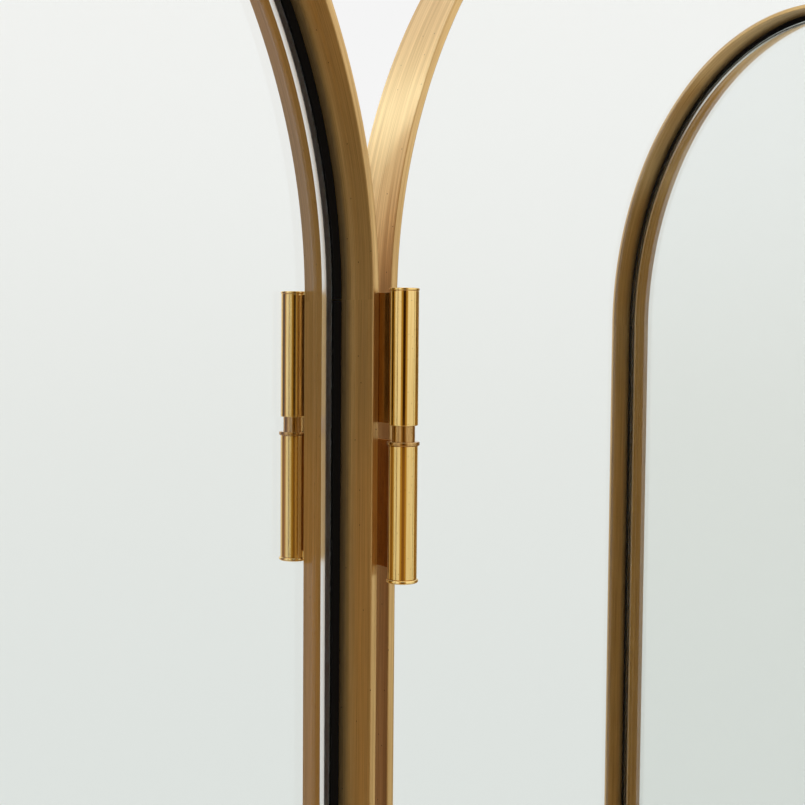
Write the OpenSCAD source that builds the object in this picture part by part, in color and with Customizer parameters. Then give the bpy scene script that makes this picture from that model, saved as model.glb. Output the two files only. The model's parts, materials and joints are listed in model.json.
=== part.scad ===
// Three-panel mirrored room divider: arched brass bands round recessed mirrors,
// joined edge to edge by lift-off hinges whose barrels stand in front of the bands.
// Millimetres. Z is up, the floor is z = 0 and the middle mirror faces -Y.
// The origin is the middle of the floor area that the open divider covers.

/* [Panels] */
// Outside width of a panel, which is also the outside diameter of its arch
panel_w = 500; // [380:5:640]
// Height of a panel from the floor to the top of its arch
panel_h = 1800; // [1400:10:2200]

/* [Band] */
// Thickness of the brass flat bar that frames a panel
band_t = 3; // [2.8:0.1:5]
// Depth of the flat bar from front to back
band_d = 30.5; // [30.5:0.5:45]

/* [Mirror and back] */
// Distance from the front edges of the band back to the face of the glass
glass_set = 17.8; // [8:0.1:18.4]
// Thickness of the mirror glass
glass_t = 5; // [3:0.5:5.5]
// Gap between the edge of the glass and the band
glass_gap = 4.1; // [2:0.1:8]
// Thickness of the black back board
board_t = 6; // [4:0.5:6.5]
// Clearance between the edge of the back board and the band
board_play = 0.5; // [0.2:0.1:1]
// Clearance on each side of the black strip that fills the gap round the glass
strip_play = 0.1; // [0.05:0.05:0.3]
// Depth of the strip's face below the face of the glass
strip_set = 0.2; // [0:0.1:1]
// Open joint between two lengths of strip
strip_joint = 0.4; // [0.1:0.1:1]

/* [Hinges] */
// Distance of the hinge axes in front of the front edges of the bands
axis_front = 12; // [9:0.5:20]
// Gap between two neighbouring bands when the divider stands flat
band_gap = 3.4; // [2.2:0.1:5]
// Outside diameter of the hinge barrels
barrel_d = 11; // [9.5:0.5:14]
// Length of the barrel of each half of a hinge
barrel_l = 50; // [49:1:70]
// Diameter of the hinge pin
pin_d = 6; // [4:0.5:6.5]
// Running clearance round the pin
pin_play = 0.05; // [0.02:0.01:0.1]
// Free length above the pin inside the upper barrel
pin_end = 4; // [3:0.5:10]
// Height of the flap that fixes each half of a hinge to its band
flap_h = 49; // [44:0.1:49]
// Thickness of a flap
flap_t = 2; // [1.8:0.1:2.2]
// Distance that a flap runs back along the side of its band
flap_reach = 20; // [16:1:26]
// Diameter of the collar that shows between the two barrels
collar_d = 8.8; // [7.5:0.1:9.4]
// Height of that collar
collar_h = 6; // [3:0.5:10]
// Diameter of the flange under the collar
flange_d = 12.3; // [11.5:0.1:14]
// Thickness of the flange
flange_t = 1.5; // [1:0.1:3]
// Clearance between the flange and the flap behind it
flange_play = 0.2; // [0.1:0.1:0.5]
// Diameter of the cap on the upper barrel
top_cap_d = 11.4; // [11:0.1:14]
// Thickness of the cap on the upper barrel
top_cap_t = 1; // [0.8:0.1:3]
// Diameter of the cap under the lower barrel
bottom_cap_d = 12.1; // [11:0.1:14]
// Thickness of the cap under the lower barrel
bottom_cap_t = 1.4; // [0.8:0.1:3]
// Length of the spigot that holds the top cap in its barrel
spigot_l = 2; // [1:0.5:2.5]
// Height of the top of the upper hinges above the foot of the arches
hinge_rise = 4.1; // [0:0.1:10]
// Height of the top of the lower hinges above the floor
low_hinge_z = 358; // [200:1:500]

/* [Opening angles] */
// Angle between the left and middle mirrors
left_open = 170; // [40:0.2:180]
// Angle between the middle and right mirrors
right_open = 101; // [80:0.5:180]

/* [Screws and lugs] */
// Diameter of the screws through the hinge flaps
flap_screw_d = 4; // [3:0.5:4]
// Diameter of their countersunk heads
flap_head_d = 7.4; // [6:0.1:7.6]
// Length of those screws
flap_screw_l = 4.6; // [3.5:0.1:4.7]
// Distance between the two screws of a flap
flap_screw_pitch = 28; // [20:1:36]
// Thickness of the lugs brazed inside the band behind the back board
lug_t = 1.5; // [1.4:0.1:1.9]
// Width of a lug along the band
lug_w = 16; // [12:1:24]
// Distance that a lug stands in from the band
lug_l = 14; // [10:1:20]
// Number of lugs on each upright
lugs_per_stile = 4; // [3:1:6]
// Diameter of the screws through the lugs
board_screw_d = 3; // [2.5:0.5:3.5]
// Diameter of their countersunk heads
board_head_d = 5.6; // [4.5:0.1:5.8]
// Length of those screws
board_screw_l = 6.5; // [4:0.5:7]
// Clearance round every screw
screw_play = 0.05; // [0.03:0.01:0.1]

/* [Feet] */
// Diameter of a glide
glide_d = 20; // [14:1:26]
// Height of a glide, which is also the height of the rail above the floor
glide_h = 5; // [3:0.5:12]
// Diameter of the stem that holds a glide in the rail
glide_stem_d = 5; // [4:0.5:8]
// Distance from the side of a panel to the middle of a glide
glide_inset = 40; // [20:1:90]

/* [Hidden] */
$fn = 96;
arch_fn = 240;
edge_cut = 0.3;
glide_cut = 1;
slot_w = 0.9;
slot_depth = 0.8;
through = 1;
PANELS = ["left_wing", "centre", "right_wing"];
PANEL_PARTS = ["arch_band", "left_stile", "right_stile", "bottom_rail", "mirror",
               "edge_strips", "back_board", "board_lugs", "board_screws", "glides"];
HINGES = ["upper_left_hinge", "lower_left_hinge", "upper_right_hinge", "lower_right_hinge"];
HINGE_PARTS = ["wing_half", "centre_half", "pin", "collar", "top_cap", "bottom_cap"];
NODES = [
    for (panel = PANELS) for (part = PANEL_PARTS) str(panel, "_", part),
    for (hinge = HINGES) for (part = HINGE_PARTS) str(hinge, "_", part),
    for (panel = PANELS) str(panel, "_flap_screws")
];
node = "all";
brushed_brass = "#A98249";
polished_brass = "#DDB15B";
dull_brass = "#8A6A3A";
mirror_glass = "#DDE6DF";
black = "#1B1B19";

// Panel, measured in its own frame: X across, Y back from the front edges, Z up
arch_r = panel_w/2;
inner_r = arch_r - band_t;
glass_r = inner_r - glass_gap;
board_r = inner_r - board_play;
spring_z = panel_h - arch_r;
rail_z = glide_h;
rail_top = rail_z + band_t;
glass_back = glass_set + glass_t;
board_back = glass_back + board_t;
LUG_STILE_Z = [for (i = [0:lugs_per_stile - 1])
    rail_top + (spring_z - rail_top)*(i + 0.5)/lugs_per_stile];
LUG_ARCH_ANGLES = [45, 90, 135];
LUG_RAIL_X = [-panel_w/4, panel_w/4];
GLIDE_X = [glide_inset - arch_r, arch_r - glide_inset];
lug_screw_in = lug_l/2;
strip_w = glass_gap - 2*strip_play;

// Hinge, measured down from the top of its top cap
barrel_r = barrel_d/2;
upper_top = -top_cap_t;
upper_foot = upper_top - barrel_l;
flange_top = upper_foot - collar_h;
lower_top = flange_top - flange_t;
lower_foot = lower_top - barrel_l;
pin_top = upper_top - pin_end;
wing_flap_foot = upper_foot + (barrel_l - flap_h)/2;
centre_flap_foot = flange_top - flap_h;
flap_face = band_gap/2;
flap_root = pin_d/2 + (barrel_d - pin_d)/4;
flap_back = axis_front + flap_reach;
flap_screw_y = axis_front + flap_reach/2;
HINGE_TOPS = [spring_z + hinge_rise, low_hinge_z];

// Placing, with the left hinge axis as the first reference
pitch = panel_w + band_gap;
left_turn = 180 - left_open;
right_turn = open_turn(right_open);
near_x = band_gap/2;
far_x = near_x + panel_w;
hinge_reach = max(barrel_d, flange_d, top_cap_d, bottom_cap_d)/2;
FLAT_Y = [axis_front, axis_front + band_d];
FOOTPRINT = concat(
    [for (x = [-far_x, -near_x]) for (y = FLAT_Y) turned([x, y], left_turn)],
    [for (x = [near_x, far_x]) for (y = FLAT_Y) [x, y]],
    [for (x = [near_x, far_x]) for (y = FLAT_Y) turned([x, y], -right_turn) + [pitch, 0]],
    [for (x = [0, pitch]) for (s = [-1, 1]) [x, s*hinge_reach]]
);
FOOT_X = [for (p = FOOTPRINT) p.x];
FOOT_Y = [for (p = FOOTPRINT) p.y];
middle_of_floor = [(min(FOOT_X) + max(FOOT_X))/2, (min(FOOT_Y) + max(FOOT_Y))/2];

// Turn from the flat divider that leaves the given angle between two mirrors
function open_turn(angle) = 180 - angle;

// Point turned about the origin
function turned(p, angle) =
    [p.x*cos(angle) - p.y*sin(angle), p.x*sin(angle) + p.y*cos(angle)];

// Heights of the screws in a flap whose foot is at the given height
function flap_screw_z(foot) =
    [for (s = [-0.5, 0.5]) foot + flap_h/2 + s*flap_screw_pitch];

// True where the whole divider or this one piece is drawn
function drawn(owner, part) = node == "all" || node == str(owner, "_", part);

// Half a flat ring that stands on z = 0, with its front face at y = 0
module half_ring(outer, inner, depth) {
    translate([0, depth, 0])
        rotate([90, 0, 0])
            linear_extrude(depth)
                difference() {
                    circle(outer, $fn = arch_fn);
                    circle(inner, $fn = arch_fn);
                    translate([-outer - through, -outer - through])
                        square([2*(outer + through), outer + through]);
                }
}

// Plate with straight sides and a semicircular top, from the rail up
module arched_plate(half_w, foot_z, front, thick) {
    translate([0, front + thick, 0])
        rotate([90, 0, 0])
            linear_extrude(thick)
                union() {
                    translate([-half_w, foot_z])
                        square([2*half_w, spring_z - foot_z]);
                    translate([0, spring_z])
                        intersection() {
                            circle(half_w, $fn = arch_fn);
                            translate([-half_w - through, 0])
                                square([2*(half_w + through), half_w + through]);
                        }
                }
}

// Round piece turned about Z, with a small chamfer on both edges
module turned_disc(diameter, height, cut = edge_cut) {
    r = diameter/2;
    rotate_extrude()
        polygon([[0, 0], [r - cut, 0], [r, cut], [r, height - cut], [r - cut, height], [0, height]]);
}

// Countersunk screw along +X with its head's face at x = 0, grown by the clearance for its hole
module countersunk(shank_d, head_d, length, play = 0) {
    head_h = (head_d - shank_d)/2;
    rotate([0, 90, 0])
        rotate_extrude()
            polygon([
                [0, 0], [head_d/2 + play, 0], [shank_d/2 + play, head_h],
                [shank_d/2 + play, length + play], [0, length + play]
            ]);
}

// The same screw with a slot across its head
module slotted_screw(shank_d, head_d, length) {
    difference() {
        countersunk(shank_d, head_d, length);
        translate([-through, -head_d/2 - through, -slot_w/2])
            cube([slot_depth + through, head_d + 2*through, slot_w]);
    }
}

// Screws of every flap on one side of a panel: side -1 is its left, +1 its right
module at_flap_screws(side, foot) {
    for (top = HINGE_TOPS)
        for (z = flap_screw_z(foot))
            translate([side*(arch_r + flap_t), flap_screw_y - axis_front, top + z])
                mirror([side > 0 ? 1 : 0, 0, 0])
                    children();
}

// Half ring, the arch of the band
module arch_band() {
    color(brushed_brass)
        translate([0, 0, spring_z])
            half_ring(arch_r, inner_r, band_d);
}

// Upright of the band, tapped for the flap screws where it carries hinges
module stile(side, hinged, foot) {
    color(brushed_brass)
        difference() {
            translate([side > 0 ? inner_r : -arch_r, 0, rail_z])
                cube([band_t, band_d, spring_z - rail_z]);
            if (hinged)
                at_flap_screws(side, foot)
                    countersunk(flap_screw_d, flap_screw_d, flap_screw_l, screw_play);
        }
}

// Rail across the foot of the band, drilled for the glides
module bottom_rail() {
    color(brushed_brass)
        difference() {
            translate([-inner_r, 0, rail_z])
                cube([2*inner_r, band_d, band_t]);
            for (x = GLIDE_X)
                translate([x, band_d/2, rail_z - through])
                    cylinder(d = glide_stem_d + 2*screw_play, h = band_t + 2*through);
        }
}

// Mirror glass, silvered on its back
module mirror_pane() {
    color(mirror_glass)
        arched_plate(glass_r, rail_top + glass_gap, glass_set, glass_t);
}

// Black strips that fill the gap round the glass, in four lengths
module edge_strips() {
    depth = glass_t - strip_set;
    front = glass_set + strip_set;
    foot = rail_top + strip_play;
    color(black) {
        translate([0, front, spring_z])
            difference() {
                half_ring(inner_r - strip_play, glass_r + strip_play, depth);
                translate([-arch_r, -through, -through])
                    cube([2*arch_r, depth + 2*through, through + strip_joint/2]);
            }
        for (side = [-1, 1])
            translate([side*(glass_r + glass_gap/2) - strip_w/2, front, foot])
                cube([strip_w, depth, spring_z - foot - strip_joint/2]);
        translate([-glass_r, front, foot])
            cube([2*glass_r, depth, strip_w]);
    }
}

// Black board that carries the glass, with pilot holes for the lug screws
module back_board() {
    color(black)
        difference() {
            arched_plate(board_r, rail_top + board_play, glass_back, board_t);
            at_lugs()
                translate([0, lug_t, 0])
                    rotate([0, 0, -90])
                        countersunk(board_screw_d, board_screw_d, board_screw_l, screw_play);
        }
}

// Screw position of each lug, with X in from the band and Y at the back of the board
module at_lugs() {
    for (z = LUG_STILE_Z)
        for (side = [-1, 1])
            translate([side*(inner_r - lug_screw_in), board_back, z])
                children();
    for (angle = LUG_ARCH_ANGLES)
        translate([0, board_back, spring_z])
            rotate([0, -angle, 0])
                translate([inner_r - lug_screw_in, 0, 0])
                    children();
    for (x = LUG_RAIL_X)
        translate([x, board_back, rail_top + lug_screw_in])
            children();
}

// Lugs brazed to the inside of the band behind the board
module board_lugs() {
    color(dull_brass)
        difference() {
            union() {
                for (z = LUG_STILE_Z)
                    for (side = [-1, 1])
                        translate([side > 0 ? inner_r - lug_l : -inner_r, board_back, z - lug_w/2])
                            cube([lug_l, lug_t, lug_w]);
                translate([0, board_back, spring_z])
                    intersection() {
                        half_ring(inner_r, inner_r - lug_l, lug_t);
                        for (angle = LUG_ARCH_ANGLES)
                            rotate([0, -angle, 0])
                                translate([0, 0, -lug_w/2])
                                    cube([arch_r, lug_t, lug_w]);
                    }
                for (x = LUG_RAIL_X)
                    translate([x - lug_w/2, board_back, rail_top])
                        cube([lug_w, lug_t, lug_l]);
            }
            at_lugs()
                translate([0, lug_t, 0])
                    rotate([0, 0, -90])
                        countersunk(board_screw_d, board_head_d, board_screw_l, screw_play);
        }
}

// Screws that hold the board to its lugs
module board_screws() {
    color(dull_brass)
        at_lugs()
            translate([0, lug_t, 0])
                rotate([0, 0, -90])
                    slotted_screw(board_screw_d, board_head_d, board_screw_l);
}

// Glides under the rail, each with a stem that fills its hole in the rail
module glides() {
    color(black)
        for (x = GLIDE_X)
            translate([x, band_d/2, 0])
                union() {
                    turned_disc(glide_d, glide_h, glide_cut);
                    cylinder(d = glide_stem_d, h = rail_top);
                }
}

// Screws that hold the hinge flaps to one side of a panel
module flap_screws(side, foot) {
    color(polished_brass)
        at_flap_screws(side, foot)
            slotted_screw(flap_screw_d, flap_head_d, flap_screw_l);
}

// Half of a hinge: a barrel and the flap that fixes it to the band on the given side
module hinge_half(side, foot_z, flap_foot, play) {
    color(polished_brass)
        difference() {
            union() {
                translate([0, 0, foot_z])
                    turned_disc(barrel_d, barrel_l);
                translate([side > 0 ? flap_face - flap_t : -flap_face, flap_root, flap_foot])
                    cube([flap_t, flap_back - flap_root, flap_h]);
            }
            translate([0, 0, foot_z - through])
                cylinder(d = pin_d + 2*play, h = barrel_l + 2*through);
            translate([0, 0, lower_top])
                cylinder(d = flange_d + 2*flange_play, h = flange_t + flange_play);
            for (z = flap_screw_z(flap_foot))
                translate([side*(flap_face - flap_t), flap_screw_y, z])
                    mirror([side > 0 ? 0 : 1, 0, 0])
                        countersunk(flap_screw_d, flap_head_d, flap_t + through, screw_play);
        }
}

// Pin, pressed into the lower barrel and free in the upper one
module hinge_pin() {
    color(dull_brass)
        translate([0, 0, lower_foot])
            turned_disc(pin_d, pin_top - lower_foot);
}

// Collar between the barrels, with a flange that rests on the lower barrel
module hinge_collar() {
    color(dull_brass)
        translate([0, 0, lower_top])
            difference() {
                rotate_extrude()
                    polygon([
                        [0, 0], [flange_d/2 - edge_cut, 0], [flange_d/2, edge_cut],
                        [flange_d/2, flange_t - edge_cut], [flange_d/2 - edge_cut, flange_t],
                        [collar_d/2, flange_t], [collar_d/2, flange_t + collar_h],
                        [0, flange_t + collar_h]
                    ]);
                translate([0, 0, -through])
                    cylinder(d = pin_d + 2*pin_play, h = flange_t + collar_h + 2*through);
            }
}

// Cap on the upper barrel, with a spigot in the bore
module hinge_top_cap() {
    color(polished_brass)
        translate([0, 0, upper_top])
            union() {
                turned_disc(top_cap_d, top_cap_t);
                translate([0, 0, -spigot_l])
                    cylinder(d = pin_d, h = spigot_l + top_cap_t/2);
            }
}

// Cap under the lower barrel
module hinge_bottom_cap() {
    color(polished_brass)
        translate([0, 0, lower_foot - bottom_cap_t])
            turned_disc(bottom_cap_d, bottom_cap_t);
}

// Frame of one panel in the open divider
module in_panel(panel) {
    translate([-middle_of_floor.x, -middle_of_floor.y, 0])
        if (panel == "left_wing")
            rotate([0, 0, left_turn])
                translate([-pitch/2, axis_front, 0])
                    children();
        else if (panel == "centre")
            translate([pitch/2, axis_front, 0])
                children();
        else
            translate([pitch, 0, 0])
                rotate([0, 0, -right_turn])
                    translate([pitch/2, axis_front, 0])
                        children();
}

// Frame of one hinge on its axis, turned with the wing where the piece belongs to it
module in_hinge(hinge, with_wing) {
    left = hinge == "upper_left_hinge" || hinge == "lower_left_hinge";
    upper = hinge == "upper_left_hinge" || hinge == "upper_right_hinge";
    turn = left ? left_turn : -right_turn;
    translate([(left ? 0 : pitch) - middle_of_floor.x, -middle_of_floor.y, HINGE_TOPS[upper ? 0 : 1]])
        rotate([0, 0, with_wing ? turn : 0])
            children();
}

// Side of the hinge axis on which the wing lies when the divider stands flat
function wing_side(hinge) = hinge == "upper_left_hinge" || hinge == "lower_left_hinge" ? -1 : 1;

for (panel = PANELS)
    in_panel(panel) {
        if (drawn(panel, "arch_band")) arch_band();
        if (drawn(panel, "left_stile"))
            stile(-1, panel != "left_wing", panel == "centre" ? centre_flap_foot : wing_flap_foot);
        if (drawn(panel, "right_stile"))
            stile(1, panel != "right_wing", panel == "centre" ? centre_flap_foot : wing_flap_foot);
        if (drawn(panel, "bottom_rail")) bottom_rail();
        if (drawn(panel, "mirror")) mirror_pane();
        if (drawn(panel, "edge_strips")) edge_strips();
        if (drawn(panel, "back_board")) back_board();
        if (drawn(panel, "board_lugs")) board_lugs();
        if (drawn(panel, "board_screws")) board_screws();
        if (drawn(panel, "glides")) glides();
        if (drawn(panel, "flap_screws")) {
            if (panel != "left_wing")
                flap_screws(-1, panel == "centre" ? centre_flap_foot : wing_flap_foot);
            if (panel != "right_wing")
                flap_screws(1, panel == "centre" ? centre_flap_foot : wing_flap_foot);
        }
    }

for (hinge = HINGES) {
    if (drawn(hinge, "wing_half"))
        in_hinge(hinge, true) hinge_half(wing_side(hinge), upper_foot, wing_flap_foot, pin_play);
    if (drawn(hinge, "centre_half"))
        in_hinge(hinge, false) hinge_half(-wing_side(hinge), lower_foot, centre_flap_foot, 0);
    if (drawn(hinge, "pin")) in_hinge(hinge, false) hinge_pin();
    if (drawn(hinge, "collar")) in_hinge(hinge, false) hinge_collar();
    if (drawn(hinge, "top_cap")) in_hinge(hinge, true) hinge_top_cap();
    if (drawn(hinge, "bottom_cap")) in_hinge(hinge, false) hinge_bottom_cap();
}
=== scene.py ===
"""Looks of a three-panel mirrored room divider: arched brass bands, recessed mirrors, lift-off hinges.

Shapes are drawn in millimetres in the frame of their own panel or hinge and placed in metres.
In a panel's frame X runs across, Y runs back from the front edges of the band and Z is up.
"""

import json
import logging
import math
from abc import ABC, abstractmethod
from collections.abc import Iterable, Sequence
from dataclasses import dataclass, field
from enum import Enum

import bmesh
import bpy
from bpy.types import Camera, Light, Material, Mesh, Node, NodeSocket, NodeTree, Object
from mathutils import Matrix, Vector


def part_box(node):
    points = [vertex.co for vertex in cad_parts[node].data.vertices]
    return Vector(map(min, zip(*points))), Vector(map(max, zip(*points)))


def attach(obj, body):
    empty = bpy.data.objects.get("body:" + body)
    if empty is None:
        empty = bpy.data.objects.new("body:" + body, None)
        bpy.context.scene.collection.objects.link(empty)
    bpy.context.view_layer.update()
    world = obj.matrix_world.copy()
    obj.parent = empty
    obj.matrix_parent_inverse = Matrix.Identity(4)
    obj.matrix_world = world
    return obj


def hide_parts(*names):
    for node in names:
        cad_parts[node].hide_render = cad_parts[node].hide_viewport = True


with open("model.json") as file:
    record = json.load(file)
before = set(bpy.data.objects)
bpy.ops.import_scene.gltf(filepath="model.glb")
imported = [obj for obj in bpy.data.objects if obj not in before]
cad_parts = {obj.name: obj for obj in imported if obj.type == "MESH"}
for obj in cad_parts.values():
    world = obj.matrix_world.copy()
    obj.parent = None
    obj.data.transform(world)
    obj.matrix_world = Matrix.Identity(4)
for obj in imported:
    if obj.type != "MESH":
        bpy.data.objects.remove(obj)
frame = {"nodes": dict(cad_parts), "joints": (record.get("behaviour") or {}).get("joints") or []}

log = logging.getLogger("divider")

MM = 0.001
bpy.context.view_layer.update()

# Layer that holds each face's place across and along the grain
LAY = "lay_of_the_grain"
# Angle in degrees from which an edge stays sharp
CREASE = 35.0
# Flats across the broken edge of a bar
ARRIS_FLATS = 2
# How far the cutter of a screw hole stands out of the face and goes into it, in millimetres
CUT_PROUD = 0.5
CUT_DEEP = 3.0
# Share that each finer layer of a noise keeps
NOISE_ROUGHNESS = 0.6
# Way in which a node eases from one value to another
SMOOTH = {"interpolation_type": "SMOOTHSTEP"}

Outline = list[tuple[float, float]]


class Body(Enum):
    """A part of the divider that moves as one, by its name in the frame."""

    LEFT_WING = "left_wing"
    CENTRE = "centre"
    RIGHT_WING = "right_wing"


class Side(Enum):
    """Side of a panel or a hinge, with its sign along X."""

    LEFT = -1
    RIGHT = 1


class Slot(Enum):
    """The record's material slots."""

    BRUSHED_BRASS = "brushed_brass"
    POLISHED_BRASS = "polished_brass"
    PLAIN_BRASS = "plain_brass"
    MIRROR_GLASS = "mirror_glass"
    BLACK_STRIP = "black_strip"
    BLACK_BOARD = "black_board"
    BLACK_NYLON = "black_nylon"


# Colour and nodes


def linear(hex_code: str) -> tuple[float, float, float, float]:
    """Turn an sRGB hex colour to linear light.

    Args:
        hex_code: The colour as "#RRGGBB".

    Returns:
        Red, green, blue and an alpha of 1.
    """
    parts = [int(hex_code[i:i + 2], 16) / 255 for i in (1, 3, 5)]
    red, green, blue = [p / 12.92 if p <= 0.04045 else ((p + 0.055) / 1.055) ** 2.4 for p in parts]
    return red, green, blue, 1.0


def put(tree: NodeTree, kind: str, sockets: dict[str | int, object], **settings: str) -> Node:
    """Add one node to a tree.

    Args:
        tree: The tree that gets the node.
        kind: Blender's name for the kind of node, without "ShaderNode".
        sockets: For each input, by name or number, a value, or the socket or node that feeds it. A node
            feeds it from the first of its outputs that is in use.
        settings: The node's own settings, by attribute.

    Returns:
        The new node.
    """
    node = tree.nodes.new("ShaderNode" + kind)
    for name, value in settings.items():
        setattr(node, name, value)
    for name, value in sockets.items():
        if isinstance(value, Node):
            value = next(output for output in value.outputs if output.enabled)
        if isinstance(value, NodeSocket):
            tree.links.new(value, node.inputs[name])
        else:
            node.inputs[name].default_value = value
    return node


def blank(name: str) -> tuple[Material, NodeTree]:
    """Start a material without nodes.

    Args:
        name: The material's name.

    Returns:
        The material and its node tree.
    """
    material = bpy.data.materials.new(name)
    material.use_nodes = True
    material.node_tree.nodes.clear()
    return material, material.node_tree


# Shapes


@dataclass
class Shape:
    """A closed shape in the making, in millimetres.

    Attributes:
        points: Corner points.
        faces: Point numbers of each face.
        lay: Place of each face's corners across and along the grain, in millimetres.
    """

    points: list[Vector] = field(default_factory=list)
    faces: list[tuple[int, ...]] = field(default_factory=list)
    lay: list[Outline] = field(default_factory=list)

    def take_in(self, other: "Shape") -> None:
        """Add another closed shape to this one.

        Args:
            other: The shape that is added as it lies.
        """
        start = len(self.points)
        self.points += other.points
        self.faces += [tuple(start + i for i in face) for face in other.faces]
        self.lay += other.lay

    def moved(self, matrix: Matrix) -> "Shape":
        """Return this shape with a transform in millimetres applied."""
        return Shape([matrix @ p for p in self.points], self.faces, self.lay)

    def cross_laid(self) -> "Shape":
        """Return this shape with its grain turned from across to along."""
        return Shape(self.points, self.faces, [[(v, u) for u, v in face] for face in self.lay])


def oblong(left: float, low: float, right: float, high: float) -> Outline:
    """Outline of a rectangle, from its lower left corner round by the right."""
    return [(left, low), (right, low), (right, high), (left, high)]


def softened(corners: Sequence[tuple[float, float]], radius: float, steps: int = 3,
             sharp: Iterable[int] = ()) -> Outline:
    """Round the corners of a closed outline.

    Args:
        corners: The outline's corners in order.
        radius: Radius of the rounding.
        steps: Straight pieces in each rounding.
        sharp: Numbers of the corners that stay as they are.

    Returns:
        The outline with an arc at each rounded corner.
    """
    outline: Outline = []
    kept = set(sharp)
    for i, corner in enumerate(corners):
        if i in kept:
            outline.append(tuple(corner))
            continue
        here = Vector(corner)
        back = (Vector(corners[i - 1]) - here).normalized()
        on = (Vector(corners[(i + 1) % len(corners)]) - here).normalized()
        half = back.angle(on) / 2
        middle = here + (back + on).normalized() * radius / math.sin(half)
        start = here + back * radius / math.tan(half) - middle
        end = here + on * radius / math.tan(half) - middle
        for step in range(steps + 1):
            outline.append(tuple(middle + start.slerp(end, step / steps) * radius))
    return outline


def flat_lay(points: Sequence[Vector]) -> Outline:
    """Lay a flat face out by the two axes that it spans most."""
    spans = [max(p[i] for p in points) - min(p[i] for p in points) for i in range(3)]
    across, along = sorted(sorted(range(3), key=lambda i: spans[i])[1:])
    return [(p[across], p[along]) for p in points]


def lofted(rings: Sequence[Sequence[Vector]], around: Sequence[float], along: Sequence[float],
           closed: bool = False) -> Shape:
    """Join rings of as many points into a closed shape.

    Args:
        rings: The rings in order.
        around: Lay of each point round its ring, and of the first point again.
        along: Lay of each ring, and of the first ring again where the shape closes on itself.
        closed: True where the last ring joins the first, and False where both ends are capped.

    Returns:
        The closed shape.
    """
    count = len(rings[0])
    shape = Shape([p for ring in rings for p in ring])
    for i in range(len(rings) if closed else len(rings) - 1):
        j = (i + 1) % len(rings)
        for k in range(count):
            m = (k + 1) % count
            shape.faces.append((i * count + k, i * count + m, j * count + m, j * count + k))
            shape.lay.append([(around[k], along[i]), (around[k + 1], along[i]),
                              (around[k + 1], along[i + 1]), (around[k], along[i + 1])])
    if not closed:
        for start in (0, (len(rings) - 1) * count):
            cap = tuple(range(start, start + count))
            shape.faces.append(cap)
            shape.lay.append(flat_lay([shape.points[i] for i in cap]))
    return shape


def lengths(points: Sequence[Sequence[float]], closed: bool) -> list[float]:
    """Distance of each point along a line of points, and of the first again where it is closed."""
    line = [Vector(p) for p in points]
    if closed:
        line.append(line[0])
    run = [0.0]
    for i in range(1, len(line)):
        run.append(run[-1] + (line[i] - line[i - 1]).length)
    return run


def turned(outline: Outline, steps: int) -> Shape:
    """Turn a closed outline about Z, as on a lathe.

    Args:
        outline: Points as (radius, z).
        steps: Flats in a full turn.

    Returns:
        The round shape, with its grain along Z.
    """
    widest = max(r for r, _ in outline)
    rings = []
    for i in range(steps):
        angle = math.tau * i / steps
        rings.append([Vector((r * math.cos(angle), r * math.sin(angle), z)) for r, z in outline])
    round_lay = [math.tau * widest * i / steps for i in range(steps + 1)]
    return lofted(rings, lengths(outline, True), round_lay, closed=True).cross_laid()


def countersink(shank: float, head: float, sink: float, flats: int) -> Shape:
    """Cutter of a countersunk screw hole, upwards from a face at the height of 0.

    Args:
        shank: Radius of the hole.
        head: Radius of the sink at the face.
        sink: Depth of the sink.
        flats: Flats in a full turn.

    Returns:
        The cutter.
    """
    return turned([(0, -CUT_PROUD), (head, -CUT_PROUD), (head, 0), (shank, sink), (shank, CUT_DEEP),
                   (0, CUT_DEEP)], flats)


def bar(low: Sequence[float], high: Sequence[float], arris: float) -> Shape:
    """Rectangular bar with its edges broken.

    Args:
        low: Its lowest corner.
        high: Its highest corner.
        arris: Width of the broken edges.

    Returns:
        The bar.
    """
    work = bmesh.new()
    bmesh.ops.create_cube(work, size=1)
    size = Vector(high) - Vector(low)
    middle = (Vector(high) + Vector(low)) / 2
    for vert in work.verts:
        vert.co = Vector(vert.co[i] * size[i] + middle[i] for i in range(3))
    bmesh.ops.bevel(work, geom=work.edges[:], offset=arris, segments=ARRIS_FLATS, profile=0.5, affect="EDGES")
    work.verts.ensure_lookup_table()
    points = [vert.co.copy() for vert in work.verts]
    faces = [tuple(vert.index for vert in face.verts) for face in work.faces]
    work.free()
    return Shape(points, faces, [flat_lay([points[i] for i in face]) for face in faces])


def as_mesh(name: str, shape: Shape) -> Mesh:
    """Turn a shape into a Blender mesh in metres, with its faces turned outwards."""
    work = bmesh.new()
    verts = [work.verts.new(p * MM) for p in shape.points]
    layer = work.loops.layers.uv.new(LAY)
    for face, lay in zip(shape.faces, shape.lay):
        for loop, place in zip(work.faces.new([verts[i] for i in face]).loops, lay):
            loop[layer].uv = place
    bmesh.ops.remove_doubles(work, verts=work.verts[:], dist=MM / 1000)
    bmesh.ops.recalc_face_normals(work, faces=work.faces[:])
    mesh = bpy.data.meshes.new(name)
    work.to_mesh(mesh)
    work.free()
    return mesh


def stood(name: str, data: Mesh | Camera | Light, place: Matrix) -> Object:
    """Stand an object in the scene.

    Args:
        name: Its name.
        data: Its mesh, camera or light.
        place: Where it stands, in metres.

    Returns:
        The object.
    """
    thing = bpy.data.objects.new(name, data)
    bpy.context.scene.collection.objects.link(thing)
    thing.matrix_world = place
    return thing


def settled(thing: Object) -> None:
    """Give an object the mesh that its modifiers make, and drop the modifiers."""
    old = thing.data
    bpy.context.view_layer.update()
    thing.data = bpy.data.meshes.new_from_object(thing.evaluated_get(bpy.context.evaluated_depsgraph_get()))
    thing.data.name = old.name
    thing.modifiers.clear()
    bpy.data.meshes.remove(old)


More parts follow.
